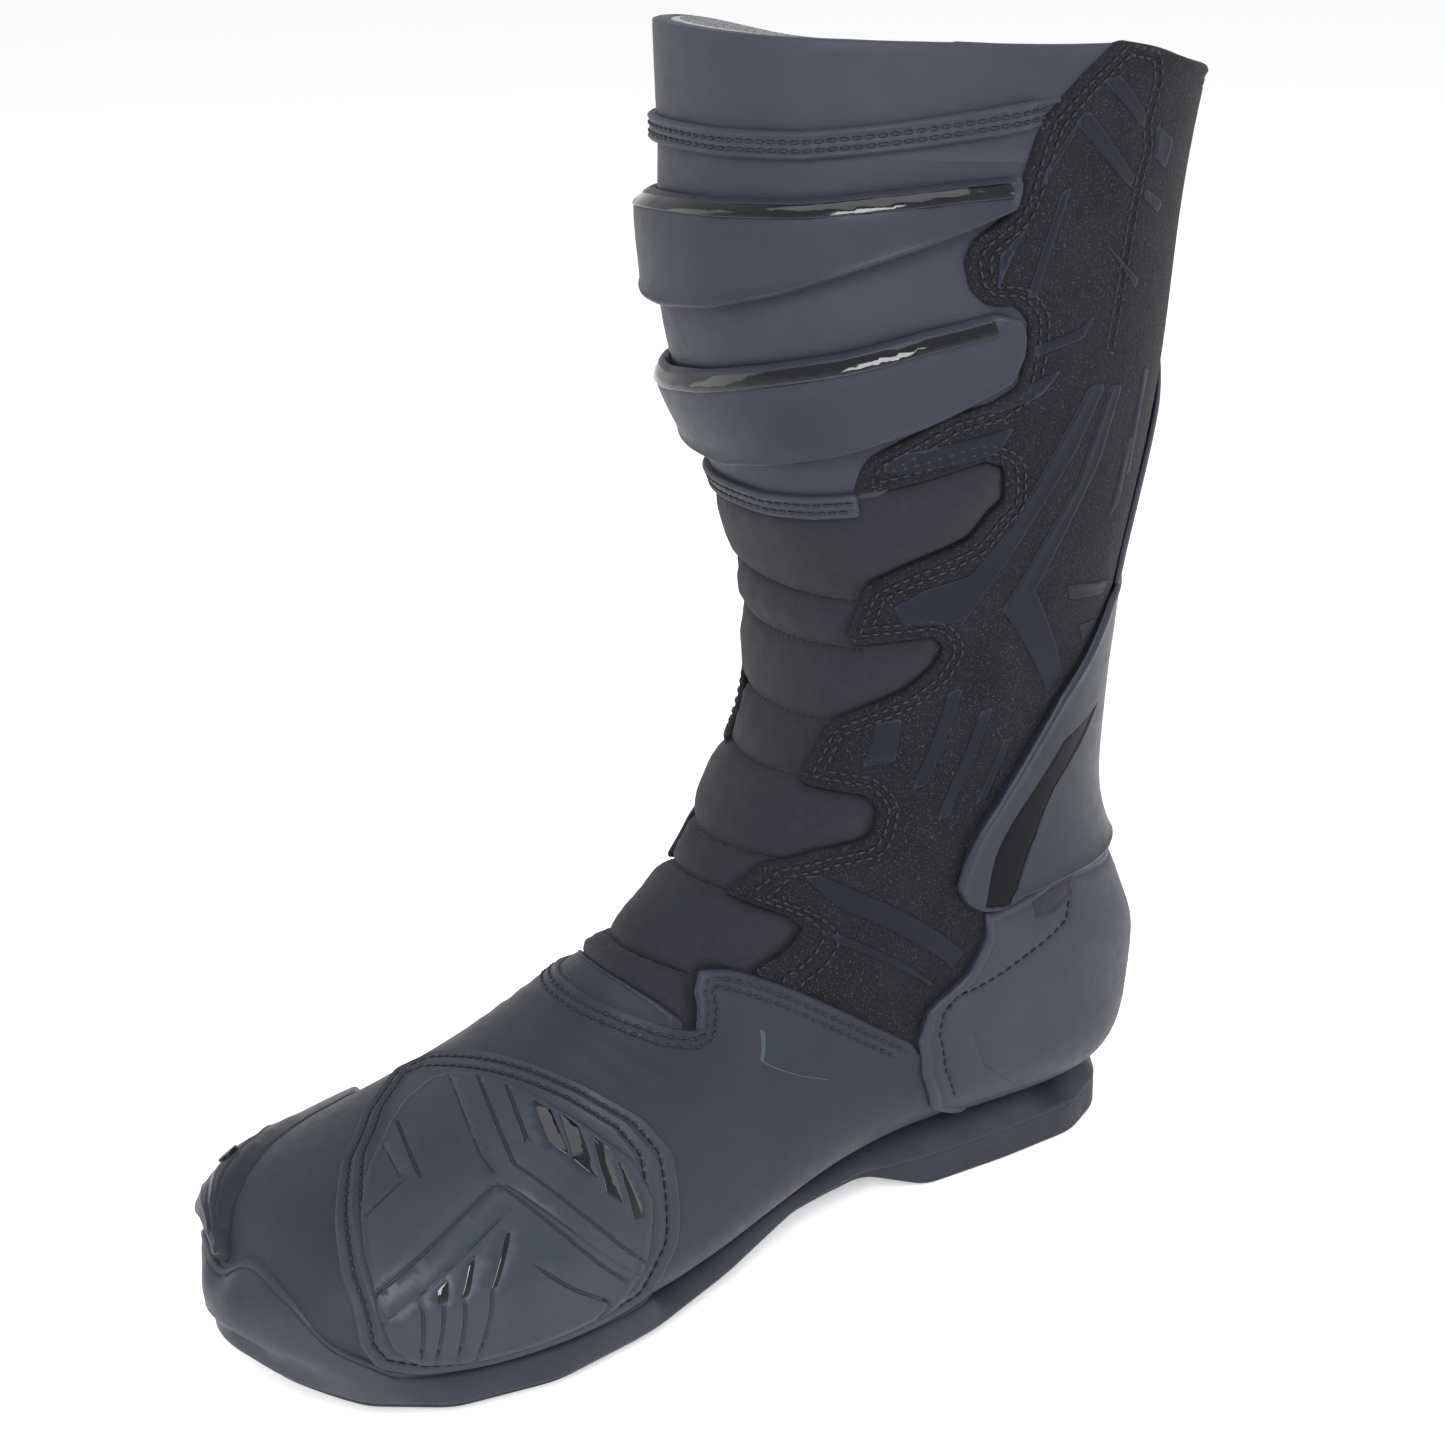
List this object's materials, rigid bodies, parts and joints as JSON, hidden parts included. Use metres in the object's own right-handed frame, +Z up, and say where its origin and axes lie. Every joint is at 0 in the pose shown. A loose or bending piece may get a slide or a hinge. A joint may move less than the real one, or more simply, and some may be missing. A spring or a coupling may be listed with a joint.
{
  "type": "motorcycle riding boot",
  "caption": "Tall right-foot motorcycle riding boot with shin plates, quilted flex zone, side zip, shift pad and sole.",
  "frame": {"origin": "centre of the footprint box on the ground, under the sole", "axes": "+Z up along the shaft, toe towards -Y, inner (medial) side towards +X"},
  "size_m": [0.1356, 0.3139, 0.3404],
  "materials": {
    "microfibre": "smooth satin microfibre, charcoal",
    "suede": "fine suede with a slight sparkle, near black",
    "stretch": "fine stretch weave, matt",
    "hard_shell": "satin moulded polyurethane",
    "gloss": "polished black",
    "rubber": "satin rubber",
    "lining": "knitted mesh",
    "foam": "felted board and foam",
    "zip": "black lacquer",
    "steel": "brushed"
  },
  "bodies": {
    "foot": {"outsole": "rubber", "midsole": "hard_shell", "insole_board": "foam", "shank": "steel", "footbed": "foam", "foot_lining": "lining", "heel_stiffener": "foam", "toe_box": "foam", "instep_gusset": "stretch", "vamp": "microfibre", "instep_tab": "hard_shell", "shift_pad_border": "hard_shell", "shift_pad": "rubber", "toe_bumper": "rubber", "toe_tip": "rubber", "toe_slider": "gloss", "slider_screw_front": "steel", "slider_screw_rear": "steel", "heel_counter": "microfibre", "heel_tab": "rubber"},
    "shaft": {"shaft_lining": "lining", "collar": "microfibre", "shin_base": "microfibre", "calf_padding": "foam", "shin_plate_upper": "hard_shell", "shin_plate_lower": "hard_shell", "upper_plate_trim": "gloss", "lower_plate_trim": "gloss", "collar_binding": "microfibre", "shin_binding": "microfibre", "medial_panel": "suede", "lateral_panel": "suede", "ankle_bellows": "stretch", "rear_shell": "hard_shell", "rear_shell_insert_medial": "gloss", "rear_shell_insert_lateral": "gloss", "calf_guard": "hard_shell", "zip_tape_front": "stretch", "zip_tape_rear": "stretch", "zip_teeth_front": "zip", "zip_teeth_rear": "zip", "zip_top_stop": "zip", "zip_bottom_stop": "zip", "flap_hook_strip": "stretch", "flap_anchor": "microfibre"},
    "zip_slider": {"zip_slider": "zip", "zip_slider_bridge": "zip"},
    "zip_pull": {"zip_pull": "zip"},
    "closure_flap": {"closure_flap": "microfibre", "flap_loop_strip": "lining"}
  },
  "joints": [
    {"name": "ankle_flex", "type": "hinge", "parent": "foot", "child": "shaft", "pos_m": [0.0004, 0.081, 0.098], "axis": [1, 0, 0], "range_deg": [-3, 14], "stiffness_Nm_per_rad": 25, "deforming": ["ankle_bellows", "medial_panel", "lateral_panel"]},
    {"name": "zip_slide", "type": "slide", "parent": "shaft", "child": "zip_slider", "axis": [0.0886, 0, -0.9961], "range_m": [0, 0.118]},
    {"name": "zip_pull_swing", "type": "hinge", "parent": "zip_slider", "child": "zip_pull", "pos_m": [-0.06522, 0.083, 0.28532], "axis": [0, 1, 0], "range_deg": [0, 150]},
    {"name": "closure_swing", "type": "hinge", "parent": "shaft", "child": "closure_flap", "pos_m": [-0.05698, 0.11898, 0.30995], "axis": [0.0753, -0.1863, -0.9796], "range_deg": [0, 110]}
  ]
}
